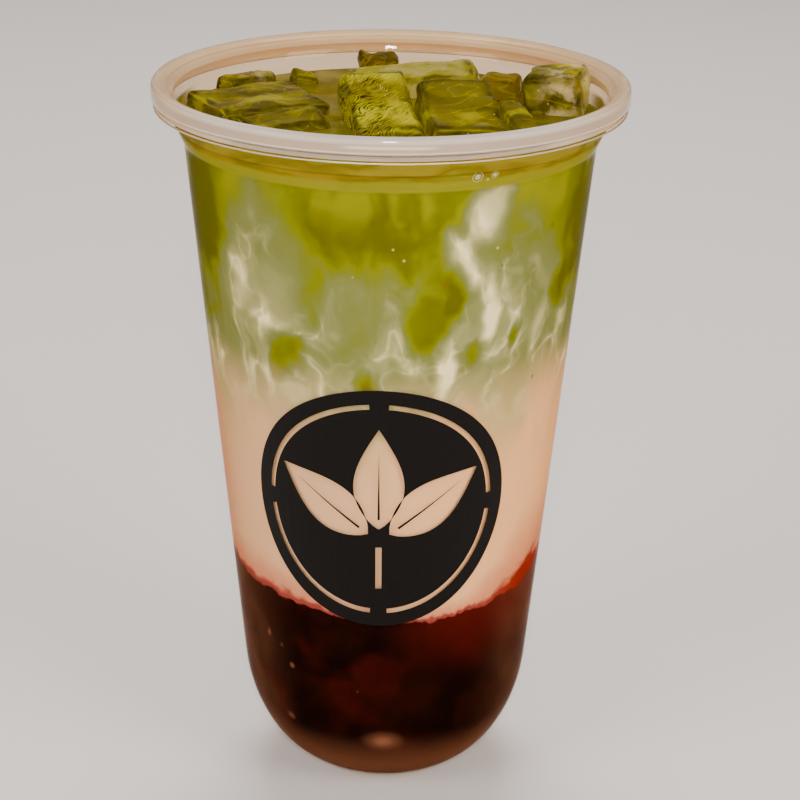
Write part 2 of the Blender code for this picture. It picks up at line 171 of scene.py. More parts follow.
# Ice: name, finish, middle of the top face, length, width and depth, turn, tilt and roll, rounding, all in
# millimetres and degrees
ICE = (
    ("ice_left_slab", "smooth", (-25.4, 5.7, 136.7), (22, 19.6, 11), (27, 1, -1), 2),
    ("ice_back_left", "cloudy", (-28.6, 22.4, 137), (12, 6.2, 8), (52, 2, 3), 1.6),
    ("ice_small_peak", "smooth", (-17.3, 28.1, 136.2), (4.5, 4, 5), (20, 12, 8), 1.1),
    # The back slab's misty finish is painted with a reflection of the cup's wall
    ("ice_back_slab", "misty", (4.1, 22.4, 138.5), (26, 13, 11), (3, 1, -3), 2.6),
    ("ice_crushed", "crushed", (-2.7, 33.3, 139.1), (8, 5.5, 8), (4, 8, -6), 1.3),
    ("ice_middle_cube", "ridged", (-1.7, -6.3, 139.1), (12.2, 21.5, 14), (10, 21, 0), 2.2),
    ("ice_right_slab", "smooth", (13.2, -5.6, 138.3), (14.2, 19.5, 12), (9, 17, 2), 1.8),
    ("ice_knob", "amber", (21.6, 13.2, 139.9), (7.5, 7, 9), (-12, 5, 3), 2.2),
    ("ice_right_low", "smooth", (24.1, -5.1, 136.4), (4.8, 22, 7), (11, 3, 4), 1.5),
    ("ice_right_cube", "cloudy", (31.5, 9.3, 141.4), (10.5, 11, 14), (-14, 3, -6), 1.8),
    ("ice_front_left", "smooth", (-19.7, -8.8, 136.1), (15, 8.6, 9), (27, 3, -1), 1.4),
    ("ice_front_right", "smooth", (17.6, -25.8, 136), (13, 11, 9), (28, -6, -4), 2),
)
ICE_UNEVEN = 0.9 * MM
ICE_WAVE_SIZE = 8.0 * MM
ICE_WAVE_SHIFTS = ((9.3, -1.5, -7.9), (4.7, 2.3, 5.1), (-3.2, 6.8, 1.4))
ICE_RIPPLE_SIZE = 2.2 * MM
ICE_SEED_STEP = 7.3
ICE_SWELL = 0.3 * MM
ICE_MELT = 0.85
ICE_OFF_WALL = 0.3 * MM

# How the ice's faces are divided: cuts in each edge that is longer than a length in millimetres
ICE_CUTS = ((3, 4.0), (2, 1.9), (1, 1.1))

# Finishes of ice: how clear and how even, and how craggy in millimetres
ICE_KINDS = {
    "smooth": (0.6, 0.3, 0.25),
    "ridged": (0.4, 0.5, 0.25),
    "misty": (0.5, 0.4, 0.25),
    "cloudy": (0.45, 0.0, 0.35),
    "crushed": (0.5, 0.0, 0.9),
    "amber": (0.5, 0.3, 0.3),
}

# Bubbles between the ice: middle and radius in millimetres, and height as a share of width
BUBBLES = (
    ((-10.4, 2.3, 134.4), 2.3, 0.62), ((-7.6, -2.6, 134.4), 0.8, 0.8), ((-13.4, -4.8, 134.4), 1, 0.7),
    ((-9, -5.4, 134.4), 0.6, 0.8), ((-11.4, -6.6, 134.4), 0.7, 0.7), ((-7.4, -6, 134.4), 0.5, 0.8),
    ((-12.6, -8.2, 134.4), 0.5, 0.8),
)

# Badge
BADGE_HEIGHT = 67.8 * MM
BADGE_TURN = math.radians(-2.5)
BADGE_THICKNESS = 0.06 * MM
BADGE_LIFT = 0.05 * MM
RING_RADIUS = 22.2 * MM
RING_WIDTH = 1.0 * MM
RING_ARCS = 4
RING_BRIDGE = math.radians(9)
LEAF_LENGTH = 21.0 * MM
LEAF_WIDTH = 9.4 * MM
LEAF_SPREAD = math.radians(52)
LEAF_START = 2.6 * MM
LEAF_FULLNESS = 0.8
LEAF_STEPS = 24
SPRIG_HEIGHT = -6.5 * MM
STALK_LENGTH = 9.0 * MM
STALK_WIDTH = 1.2 * MM
VEIN_WIDTH = 0.45 * MM
VEIN_ENDS = (0.1, 0.8)
ARC_STEP = math.radians(2)

# Cuts that let the badge bend with the wall: direction, step in millimetres and steps to each side
BADGE_CUTS = (((1, 0, 0), 2.0, 13), ((0, 1, 0), 5.0, 4))

# Camera
CAMERA_PLACE = Vector((0.0, -0.398613, 0.23397))
CAMERA_AIM = Vector((0.002448, 0.0, 0.077129))
CAMERA_ROLL = math.radians(0.763)
CAMERA_LENS = 97.06
CAMERA_NEAR = 0.01

# Lamps: name, place, width, height, power, colour and whether it shows in what is glossy
LAMPS = (
    ("left", (-0.75, -0.62, 0.62), 0.45, 0.45, 5.0, (1.0, 0.98, 0.95), False),
    ("right", (0.75, -0.62, 0.62), 0.45, 0.45, 6.2, (1.0, 0.96, 0.92), False),
    ("top", (0.0, 0.6, 1.1), 0.6, 0.6, 12.0, (1.0, 0.98, 0.96), False),
    ("flash", (0.0, -0.62, 0.42), 0.07, 0.05, 2.8, (1.0, 0.98, 0.95), True),
)
LAMP_AIM = Vector((0.0, 0.0, 0.08))
SKY = (1.0, 0.95, 0.92, 1.0)
SKY_STRENGTH = 0.25
FLOOR_SIZE = 3.0
FLOOR_DROP = 0.2 * MM

# Points nearer than this are one point
SAME = 1e-6


class LatteSizes(bpy.types.PropertyGroup):
    """Sizes of the cup and what it holds."""

    def length(name, description, default):
        return FloatProperty(name=name, description=description, default=default, unit="LENGTH")

    wall: length("Wall", "Thickness of the cup's wall", 0.0007)
    reach: length("Reach", "How far the drink reaches into the wall", 0.00015)
    facets: IntProperty(name="Facets", description="Facets round the cup", default=144)
    jam_level: length("Jam level", "Top of the jam", 0.045)
    milk_level: length("Milk level", "Top of the milk", 0.0894)
    drink_level: length("Drink level", "Top of the drink", 0.1344)
    badge_radius: length("Badge", "Radius of the badge", 0.025)


class LatteColours(bpy.types.PropertyGroup):
    """Colours of the drink, the ice, the cup and the stage."""

    def tint(name, description, *screen):
        return FloatVectorProperty(
            name=name, description=description, subtype="COLOR", default=paint(*screen), min=0, max=1
        )

    matcha_deep: tint("Deep matcha", "The darkest pockets of matcha", 86, 88, 3)
    matcha: tint("Matcha", "Matcha with no milk in it", 95, 101, 2)
    matcha_green: tint("Green matcha", "Matcha with a little milk", 111, 119, 11)
    matcha_vivid: tint("Vivid matcha", "The brightest matcha", 129, 134, 5)
    cloudy_green: tint("Cloudy green", "Matcha on its way to haze", 108, 116, 49)
    haze: tint("Haze", "Matcha half mixed with milk", 114, 122, 73)
    pale: tint("Pale haze", "Milk with some matcha", 141, 144, 96)
    plume: tint("Plume", "Streams of milk", 202, 198, 148)
    plume_bright: tint("Bright plume", "The whitest streams", 239, 232, 186)
    milk: tint("Milk", "The band of milk", 217, 174, 139)
    milk_warm: tint("Warm milk", "The warmer side of the milk", 242, 185, 135)
    milk_green: tint("Green milk", "Milk next to the matcha", 173, 162, 109)
    blush: tint("Blush", "Milk next to the jam", 194, 109, 83)
    jam_edge: tint("Jam edge", "The jam's bright edge", 142, 60, 54)
    jam_orange: tint("Orange jam", "Thin jam at the right of its edge", 128, 28, 4)
    jam_red: tint("Red jam", "Red patches in the jam", 76, 16, 12)
    jam_dark: tint("Dark jam", "The darkest jam", 15, 5, 3)
    jam_brown: tint("Brown jam", "The browner jam", 34, 11, 5)
    # Pale jam for the flecks and the lighter bottom, and the haze of light painted on the jam's sides
    jam_pale_and_sheen: tint("Thin jam", "Jam smeared thin on the wall", 122, 78, 58)
    neck: tint("Neck", "Matcha behind the neck", 140, 124, 26)
    neck_dark: tint("Dark neck", "Deeper matcha behind the neck", 106, 91, 5)
    neck_band: tint("Neck band", "The lighter line under the neck", 140, 144, 34)
    surface: tint("Surface", "The top of the drink", 86, 77, 2)
    surface_light: tint("Light surface", "Paler swirls on the top of the drink", 106, 97, 4)
    ice: tint("Ice", "Ice that stands in the drink", 134, 119, 0)
    # Paler ice in cracks and bubbles, and the highlights painted on the ice's faces and along its edges
    ice_pale_and_highlight: tint("Light ice", "Edges and thin parts of the ice", 202, 192, 10)
    ice_frost: tint("Frost", "Cloudy parts of the ice", 226, 202, 146)
    ice_dark: tint("Dark ice", "Deep parts of the ice", 78, 68, 0)
    # Painted shade in the dark line inside each edge of the ice, and the dark fibres of ridged ice
    ice_deep_and_edge_shade: tint("Deep ice", "The dark line inside an edge of the ice", 46, 40, 0)
    # Glints painted on the ice: bright lines and points where it catches the light
    ice_glint: tint("Ice spark", "Bright lines and points in the ice", 244, 238, 150)
    ice_amber: tint("Amber ice", "Ice tinted most by the drink", 138, 110, 8)
    rim: tint("Rim", "The hazy plastic of the rim", 222, 188, 142)
    rim_light: tint("Light rim", "Paler rings in the rim", 238, 212, 174)
    # Painted shade on the rim's outer side and in a ring along its ledge
    rim_painted_shade: tint("Rim shade", "The darker side of the rim", 176, 142, 92)
    # The colour of the highlights painted on the rim: its light lines and its gleam
    rim_highlight: tint("Bright rim", "The light lines on the rim", 255, 244, 224)
    # The front of the rim painted paler, a painted highlight where the light falls on it
    rim_front_lit: tint("Rim front", "The paler front of the rim", 242, 232, 224)
    neck_plastic: tint("Neck plastic", "The tinted plastic above the drink", 255, 226, 188)
    neck_light: tint("Light neck plastic", "Paler streaks above the drink", 255, 234, 204)
    ink: tint("Ink", "The printed badge", 17, 14, 12)
    ink_light: tint("Worn ink", "Paler grain in the badge", 26, 22, 20)
    floor: tint("Floor", "The floor", 236, 228, 222)
    floor_grain: tint("Floor grain", "Darker grain in the floor", 230, 221, 215)


# Shader expressions


class Value:
    """A number in a shader, on which maths is written as a Python expression."""

    def __init__(self, look, socket):
        self.look = look
        self.socket = socket

    def maths(self, operation, *others):
        """The number that a Math node makes of this one and others."""
        given = dict(enumerate((self, *others)))
        return Value(self.look, self.look.node("ShaderNodeMath", {"operation": operation}, given)[0])

    def __add__(self, other):
        return self.maths("ADD", other)

    def __sub__(self, other):
        return self.maths("SUBTRACT", other)

    def __mul__(self, other):
        return self.maths("MULTIPLY", other)

    def __truediv__(self, other):
        return self.maths("DIVIDE", other)

    def __rsub__(self, other):
        return self.maths("MULTIPLY_ADD", -1.0, other)

    __radd__ = __add__

    def size(self):
        """The number without its sign."""
        return self.maths("ABSOLUTE")

    def smooth(self, start, end):
        """Runs smoothly from 0 at the start to 1 at the end, in either direction."""
        settings = {"interpolation_type": "SMOOTHSTEP"}
        given = {"Value": self, "From Min": start, "From Max": end}
        return Value(self.look, self.look.node("ShaderNodeMapRange", settings, given)[0])


class Look:
    """The nodes of one material round its Principled shader."""

    def __init__(self, name):
        self.material = bpy.data.materials.new(name)
        self.material.use_nodes = True
        self.tree = self.material.node_tree
        self.shader = self.tree.nodes["Principled BSDF"]
        self.surface = self.shader.outputs[0]
        self.output = self.tree.nodes["Material Output"]
        self.colours = bpy.context.scene.latte_colours

    def connect(self, given, socket):
        """Gives a socket a link, a plain value or the colour of a name."""
        given = given.socket if isinstance(given, Value) else given
        given = getattr(self.colours, given) if isinstance(given, str) else given
        if isinstance(given, bpy.types.NodeSocket):
            self.tree.links.new(given, socket)
        elif socket.type == "RGBA" and len(given) == 3:
            socket.default_value = (*given, 1.0)
        else:
            socket.default_value = given

    def node(self, kind, settings=None, sockets=None):
        """The outputs of a node of a type, with its settings and the values or links of its sockets."""
        made = self.tree.nodes.new(kind)
        for name, setting in (settings or {}).items():
            setattr(made, name, setting)
        for key, given in (sockets or {}).items():
            self.connect(given, made.inputs[key])
        return made.outputs

    def place(self):
        """The point on the piece, in millimetres."""
        given = {0: self.node("ShaderNodeTexCoord")["Object"], "Scale": 1.0 / MM}
        return self.node("ShaderNodeVectorMath", {"operation": "SCALE"}, given)[0]

    def parts(self, vector):
        """The three numbers of a vector."""
        split = self.node("ShaderNodeSeparateXYZ", None, {0: vector})
        return [Value(self, socket) for socket in split]

    def around(self, vector):
        """The angle from the cup's front in degrees, and the height, of a point."""
        x, y, up = self.parts(vector)
        return x.maths("ARCTAN2", y * -1.0) * math.degrees(1.0), up

    def joined(self, across, along, up=0.0):
        """A vector of three numbers."""
        return self.node("ShaderNodeCombineXYZ", None, {0: across, 1: along, 2: up})[0]

    def vector(self, operation, *given, out="Vector"):
        """What a Vector Math node makes of vectors."""
        return self.node("ShaderNodeVectorMath", {"operation": operation}, dict(enumerate(given)))[out]

    def mapped(self, vector, middle=(0, 0, 0), turn=(0, 0, 0), size=(1, 1, 1)):
        """A vector seen from a place, turned and in units of a size."""
        given = {"Vector": vector, "Location": middle, "Rotation": turn, "Scale": size}
        return self.node("ShaderNodeMapping", {"vector_type": "TEXTURE"}, given)[0]

    def noise(self, vector, size, detail=2.0, roughness=0.5, out="Fac"):
        """Noise between 0 and 1 with features of a size."""
        given = {"Vector": vector, "Scale": 1.0 / size, "Detail": detail, "Roughness": roughness}
        made = self.node("ShaderNodeTexNoise", None, given)[out]
        return Value(self, made) if out == "Fac" else made

    def cells(self, vector, size):
        """The distance to the nearest of many scattered points, as a share of a size."""
        given = {"Vector": vector, "Scale": 1.0 / size}
        return Value(self, self.node("ShaderNodeTexVoronoi", None, given)["Distance"])

    def warped(self, vector, size, amount):
        """A vector that wanders about its place by up to an amount."""
        off = self.vector("SUBTRACT", self.noise(vector, size, out="Color"), (0.5, 0.5, 0.5))
        return self.vector("MULTIPLY_ADD", off, (2 * amount,) * 3, vector)

    def length(self, vector):
        """The length of a vector."""
        return Value(self, self.vector("LENGTH", vector, out="Value"))

    def oval(self, spread, around, height, half_width, half_height, lean=0.0):
        """How far a point of the wall is from an oval's middle: 1 on the oval."""
        seen = self.mapped(spread, (around, height, 0), (0, 0, lean), (half_width, half_height, 1))
        return self.length(seen)

    def mix(self, share, first, second):
        """A colour between two."""
        given = {0: share, 6: first, 7: second}
        return self.node("ShaderNodeMix", {"data_type": "RGBA"}, given)[2]

    def layered(self, colour, *layers):
        """A colour with others laid over it in turn, each by its share."""
        for share, over in layers:
            colour = self.mix(share, colour, over)
        return colour

    def ramp(self, share, stops):
        """A colour from a ramp of stops."""
        made = self.node("ShaderNodeValToRGB", None, {0: share})[0]
        marks = made.node.color_ramp.elements
        while len(marks) < len(stops):
            marks.new(0.5)
        for mark, (place, colour) in zip(marks, stops):
            mark.position = place
            mark.color = (*getattr(self.colours, colour), 1.0)
        return made

    def bump(self, height, depth, strength):
        """A normal raised by a height, of a depth in millimetres."""
        given = {"Strength": strength, "Distance": depth * MM, "Height": height}
        return self.node("ShaderNodeBump", None, given)[0]

    def attribute(self, name):
        """A vector that the mesh carries."""
        return self.node("ShaderNodeAttribute", {"attribute_name": name})["Vector"]

    def finish(self, **sockets):
        """Gives the Principled shader its sockets, named with underscores, and returns the material."""
        for name, given in sockets.items():
            self.connect(given, self.shader.inputs[name.replace("_", " ")])
        return self.material

    def smeared(self, share, colour):
        """Lays an opaque, matte film of a colour on the plastic, as thick as the share says."""
        film = {"Base Color": colour, "Roughness": 0.4, "Specular IOR Level": 0.0}
        layer = self.node("ShaderNodeBsdfPrincipled", None, film)
        given = {0: share, 1: self.surface, 2: layer[0]}
        self.surface = self.node("ShaderNodeMixShader", None, given)[0]

    def lets_lamps_through(self, share):
        """Lets a share of the lamplight pass straight through the material, as a thin clear wall does."""
        path = self.node("ShaderNodeLightPath")["Is Shadow Ray"]
        clear = self.node("ShaderNodeBsdfTransparent", None, {"Color": (share, share, share)})
        mixed = self.node("ShaderNodeMixShader", None, {0: path, 1: self.surface, 2: clear[0]})
        self.tree.links.new(mixed[0], self.output.inputs["Surface"])
        return self.material


# Mesh helpers


def new_piece(name, solid, *materials, smooth=True):
    """An object made of a bmesh, which is freed."""
    mesh = bpy.data.meshes.new(name)
    solid.to_mesh(mesh)
    solid.free()
    for surface in materials:
        mesh.materials.append(surface)
    if smooth:
        mesh.shade_smooth()
    made = bpy.data.objects.new(name, mesh)
    bpy.context.scene.collection.objects.link(made)
    return made


def belongs(piece, slot, *nodes):
    """The piece rides on the cup and stands for some nodes; the slot is not used."""
    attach(piece, "root")
    if nodes:
        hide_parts(*nodes)


def turned(profile, facets):
    """A bmesh of a profile of (radius, height) in metres turned about Z."""
    solid = bmesh.new()
    points = [solid.verts.new((radius, 0.0, height)) for radius, height in profile]
    edges = [solid.edges.new(pair) for pair in zip(points, points[1:])]
    around = {"axis": (0, 0, 1), "cent": (0, 0, 0), "angle": 2 * math.pi, "steps": facets}
    bmesh.ops.spin(solid, geom=points + edges, use_merge=True, **around)
    bmesh.ops.remove_doubles(solid, verts=solid.verts[:], dist=SAME)
    bmesh.ops.recalc_face_normals(solid, faces=solid.faces[:])
    return solid


def outer_wall():
    """The cup's outer side from the middle of its base to the underside of the rim, in metres."""
    shoulder_radius, shoulder_height = SHOULDER_MM
    across = (shoulder_radius - BASE_RADIUS_MM) / BOTTOM_WIDTH_MM
    above = (shoulder_height - BOTTOM_HEIGHT_MM) / BOTTOM_HEIGHT_MM
    contact = math.acos(1.0 / math.hypot(across, above)) - math.atan2(above, across)
    points = [(0.0, 0.0), (BASE_RADIUS_MM - FOOT_GAP_MM, 0.0)]
    for step in range(1, BOTTOM_STEPS + 1):
        angle = math.pi / 2 + (contact - math.pi / 2) * step / BOTTOM_STEPS
        radius = BASE_RADIUS_MM + BOTTOM_WIDTH_MM * math.cos(angle)
        points.append((radius, BOTTOM_HEIGHT_MM * (1.0 - math.sin(angle))))
    foot = points[-1]
    rise = [end - start for start, end in zip(foot, SHOULDER_MM)]
    points += [tuple(start + way * step for start, way in zip(foot, rise)) for step in BODY_STEPS]
    return [(radius * MM, height * MM) for radius, height in (*points, SHOULDER_MM, *NECK_MM)]


def inset(line, distance):
    """A line of (radius, height) moved in from the cup's outer side by a distance square to it."""
    moved = []
    for index, (radius, height) in enumerate(line):
        normals = []
        for start, end in ((index - 1, index), (index, index + 1)):
            if start >= 0 and end < len(line):
                along = Vector(line[end]) - Vector(line[start])
                normals.append(Vector((-along.y, along.x)).normalized())
        inward = sum(normals, Vector((0.0, 0.0))).normalized()
        reach = distance / inward.dot(normals[0])
        moved.append((radius + inward.x * reach, height + inward.y * reach))
    moved[0] = (0.0, moved[0][1])
    return moved


def radius_at(line, height):
    """The radius of a rising line at a height."""
    for (radius_0, height_0), (radius_1, height_1) in zip(line[1:], line[2:]):
        if height_0 <= height <= height_1:
            share = (height - height_0) / (height_1 - height_0)
            return radius_0 + (radius_1 - radius_0) * share
    return line[-1][0]


# Finishes


def clear_plastic():
    """Clear plastic of the cup's body, which is brown where it is seen edge on."""
    look = Look("clear_plastic")
    place = look.place()
    mottle = look.noise(place, 14, 2)
    look.finish(
        Base_Color=look.mix(mottle, (1, 0.98, 0.96), (0.98, 0.95, 0.92)),
        Roughness=0.02 + mottle * 0.02,
        IOR=1.02,
        Transmission_Weight=1,
        Normal=look.bump(mottle, 0.1, 0.3),
    )
    tint = look.node("ShaderNodeVolumeAbsorption", None, {"Color": WALL_TINT, "Density": WALL_DENSITY})
    look.tree.links.new(tint[0], look.output.inputs["Volume"])
    return look.lets_lamps_through(0.97)


def neck_plastic():
    """The thicker, faintly tinted plastic above the drink and under the rim."""
    look = Look("neck_plastic")
    place = look.place()
    angle, up = look.around(place)
    streaks = look.noise(look.mapped(place, size=(9, 9, 1)), 1.6, 2)
    mottle = look.noise(place, 8, 3)
    film = angle.size().smooth(112, 96) * (up + streaks).smooth(138, 137.2)
    look.smeared(film * 0.85, neck_colour(look, place, up, look.noise(place, 4, 3)))
    look.finish(
        Base_Color=look.mix(streaks.smooth(0.4, 0.65) * 0.6, "neck_plastic", "neck_light"),
        Roughness=0.02 + mottle * 0.03,
        IOR=1.3,
        Transmission_Weight=0.98,
        Normal=look.bump(mottle, 0.05, 0.3),
    )
    return look.lets_lamps_through(0.85)


def rim_plastic():
    """The hazy plastic of the rolled rim, with highlights and shade painted on its side, front and ledge."""
    look = Look("rim_plastic")
    place = look.place()
    x, y, up = look.parts(place)
    angle = look.around(place)[0]
    radius = look.length(look.joined(x, y))
    rings = look.noise(look.joined(0, 0, radius + up * 0.6), 1.3, 2)
    mottle = look.noise(place, 12, 3)
    share = rings.smooth(0.4, 0.62) * 0.35 + mottle.smooth(0.4, 0.7) * 0.3
    side = radius.smooth(44.2, 44.6)
    colour = look.layered(
        look.mix(share, "rim", "rim_light"),
        # The front painted paler, as if lit from the front
        (angle.size().smooth(80, 35) * 0.8, "rim_front_lit"),
        # Painted shade on the outer side under the top, and a ring of painted shade along the ledge
        (side * up.smooth(141.2, 140.6) * 0.55, "rim_painted_shade"),
        ((radius - 42).size().smooth(0.3, 0.1) * 0.5, "rim_painted_shade"),
    )
    # Light lines painted round the rim's side: painted highlights where its edges catch the light
    for height, half, strength in RIM_HIGHLIGHT_LINES:
        line = (up - height).size().smooth(half, half * 0.4) * side
        colour = look.mix(line * (strength + rings * 0.2), colour, "rim_highlight")
    # A highlight painted on the front of the rim's side, in the bright rim colour
    height, full, gone = RIM_PAINTED_HIGHLIGHT
    painted_highlight = (up - height).size().smooth(0.4, 0.15) * angle.size().smooth(gone, full) * side
    colour = look.mix(painted_highlight * 0.9, colour, "rim_highlight")
    look.finish(
        Base_Color=colour,
        Roughness=0.05 + mottle * 0.05,
        IOR=1.45,
        Transmission_Weight=0.5,
        Normal=look.bump(rings * 0.5 + look.noise(place, 4, 2) * 0.5, 0.05, 0.4),
    )
    return look.lets_lamps_through(0.6)


def milk_share(look, fine, tall, silk, cloud):
    """How much milk is in the matcha at a point of the wall."""
    angle, up = look.around(fine)
    spread = look.joined(angle, up)
    ragged = (cloud - 0.5) * 1.5
    share = 0.15 + up.smooth(125, 105) * 0.40 + up.smooth(99, 88) * 0.20
    for *oval, lean, amount in MARBLING:
        seen = look.oval(spread, *oval, math.radians(lean))
        share = share + (seen + ragged).smooth(1.5, 0.25) * amount
    lines = 0
    for off, size, veil, line in ((31, 9, 0.12, 0.06), (3, 5.4, 0.07, 0.05)):
        vein = (look.noise(look.vector("ADD", silk, (off, 7, 41)), size, 1.2) - 0.5).size()
        lines = vein.smooth(0.1, 0) * veil + vein.smooth(0.03, 0) * line + lines
    patchy = look.noise(look.vector("ADD", tall, (11, 2, 9)), 8, 1).smooth(0.36, 0.58)
    middle = up.smooth(131, 121) * up.smooth(80, 92)
    milky = share.smooth(0.15, 0.6)
    return share + (cloud - 0.5) * (0.2 + middle * 0.55) + lines * middle * milky * patchy


def matcha_colour(look, fine, tall, silk, cloud):
    """Matcha marbled with milk."""
    share = milk_share(look, fine, tall, silk, cloud)
    colour = look.ramp(share, MATCHA_STOPS)
    up = look.parts(fine)[2]
    vivid = look.noise(tall, 8, 2).smooth(0.42, 0.62) * up.smooth(121, 129) * share.smooth(0.5, 0.3)
    return look.mix(vivid * 0.8, colour, "matcha_vivid")


def neck_colour(look, place, up, cloud):
    """Matcha behind the neck, with the lighter line under it."""
    band = (up + (cloud - 0.5) * 1.6).smooth(133.2, 132.2)
    warm = look.noise(look.mapped(look.warped(place, 9, 2), size=(4, 4, 1)), 2.8, 1.6)
    return look.layered(
        "neck",
        (warm.smooth(0.36, 0.6) * 0.8, "neck_dark"),
        (warm.smooth(0.56, 0.7) * 0.5, "neck_band"),
        (band * 0.85, "neck_band"),
    )


def jam_colour(look, place, angle, up):
    """Berry jam with lumps of fruit and pale flecks, lighter towards the bottom, with a haze of light
    painted at its sides and a highlight painted at its bottom front.
    """
    soft = look.warped(place, 7, 3)
    lump = look.noise(soft, 8, 3)
    fruit = look.cells(soft, 9)
    patch = look.noise(look.vector("ADD", soft, (40, 0, 0)), 11, 2)
    right = angle.smooth(-6, 34) * angle.smooth(130, 90)
    # The sides of the jam, where a haze of light is painted over it as a sheen
    sheen_sides = angle.size().smooth(34, 84) * angle.size().smooth(145, 92)
    jam = look.layered(
        "jam_dark",
        (lump.smooth(0.42, 0.7) * 0.7, "jam_brown"),
        (fruit.smooth(0.3, 0.5) * fruit.smooth(0.62, 0.5) * 0.4, "jam_brown"),
        (patch.smooth(0.5, 0.7) * 0.22, "jam_red"),
        (right * up.smooth(27, 45) * 0.8, "jam_red"),
        (sheen_sides * (lump.smooth(0.66, 0.34) * 0.3 + 0.3), "jam_pale_and_sheen"),
        (up.smooth(17, 3) * 0.85, "jam_pale_and_sheen"),
    )
    spread = look.joined(angle, up)
    # The pale flecks, and the highlight painted at the bottom front
    for *oval, strength in FLECKS_AND_HIGHLIGHT:
        jam = look.mix(look.oval(spread, *oval).smooth(1, 0.2) * strength, jam, "jam_pale_and_sheen")
    return jam


def marbled(look):
    """The colour of the drink at its wall: jam, milk, then matcha marbled with milk."""
    place = look.place()
    soft = look.warped(place, 14, 4.6)
    fine = look.warped(soft, 5, 1.5)
    silk = look.mapped(look.warped(soft, 7, 2), size=(1, 1, 1.5))
    tall = look.mapped(fine, size=(1, 1, 1.7))
    cloud = look.noise(tall, 7, 3)
    angle, up = look.around(place)
    colour = matcha_colour(look, fine, tall, silk, cloud)

    milk = look.layered(
        "milk",
        (angle.smooth(-30, 50) * angle.smooth(150, 110), "milk_warm"),
        (angle.smooth(-56, -86) * angle.smooth(-120, -90) * 0.5, "blush"),
        (look.noise(tall, 11, 3).smooth(0.3, 0.7) * up.smooth(68, 88) * 0.8, "milk_green"),
    )
    colour = look.mix((up + (cloud - 0.5) * 14).smooth(98, 78), colour, milk)

    spread = look.joined(angle, up)
    for around, height, radius in SPECKS:
        seen = look.oval(spread, around, height, radius * 1.3, radius * 1.2, 0.3)
        colour = look.mix(seen.smooth(1.1, 0.4) * 0.75, colour, "neck_dark")
    colour = look.mix(up.smooth(130.4, 131), colour, neck_colour(look, place, up, cloud))
    # Each bubble is painted as a pale centre, a painted highlight, inside a dark ring with a pale edge
    for around, height, radius in BEADS:
        seen = look.oval(spread, around, height, radius * 1.5, radius)
        bead = look.mix(seen.smooth(0.35, 0.75), "plume", "matcha_deep")
        bead = look.mix(seen.smooth(0.75, 0.95), bead, "plume")
        colour = look.mix(seen.smooth(1.05, 0.9) * 0.8, colour, bead)

    jag = look.noise(place, 6, 4, 0.6) * 4.6 + look.noise(place, 1.7, 2) * 1.2 - 2.9
    dip = (angle * (2 * math.pi / 180) - 2 * JAM_DIP).maths("COSINE")
    line = up - (44.7 - dip * 1.5) - jag
    glow = angle.smooth(26, 62) * angle.smooth(130, 90)
    streak = look.noise(look.mapped(place, size=(2.4, 2.4, 1)), 3, 3)
    thick = (angle + 52).size().smooth(44, 8) * 1.4 + glow * 4.2 + streak + 0.5
    rise = line / thick + (streak - 0.5) * 1.6
    colour = look.mix((line / (thick * 4)).smooth(1, 0.1) * 0.75, colour, "blush")
    edge = look.mix(glow, "jam_edge", "jam_orange")
    colour = look.mix(rise.smooth(1, 0.35), colour, edge)
    return look.mix(line.smooth(0.25, -0.25), colour, jam_colour(look, place, angle, up))


def layer_finish(name):
    """The finish of one layer of the drink, seen through the wall."""
    look = Look(name)
    ripple = look.noise(look.place(), 16, 1)
    return look.finish(
        Base_Color=marbled(look),
        Roughness=0.5 + ripple * 0.1,
        IOR=1.33,
        Specular_IOR_Level=0,
        Normal=look.bump(ripple, 0.12, 0.3),
    )


def surface_finish():
    """The wet top of the matcha, with faint foam."""
    look = Look("matcha_surface")
    place = look.place()
    swirl = look.noise(look.warped(place, 8, 3), 5, 4)
    foam = look.cells(place, 0.9).smooth(0.35, 0.2) * look.noise(place, 7, 2).smooth(0.56, 0.68)
    colour = look.mix(swirl.smooth(0.35, 0.7), "surface", "surface_light")
    colour = look.mix(foam * 0.1, colour, "ice_frost")
    return look.finish(
        Base_Color=colour,
        Roughness=0.06 + foam * 0.2,
        IOR=1.33,
        Specular_IOR_Level=0.05,
        Normal=look.bump(swirl * 0.6 + foam * 0.4, 0.35, 0.6),
    )


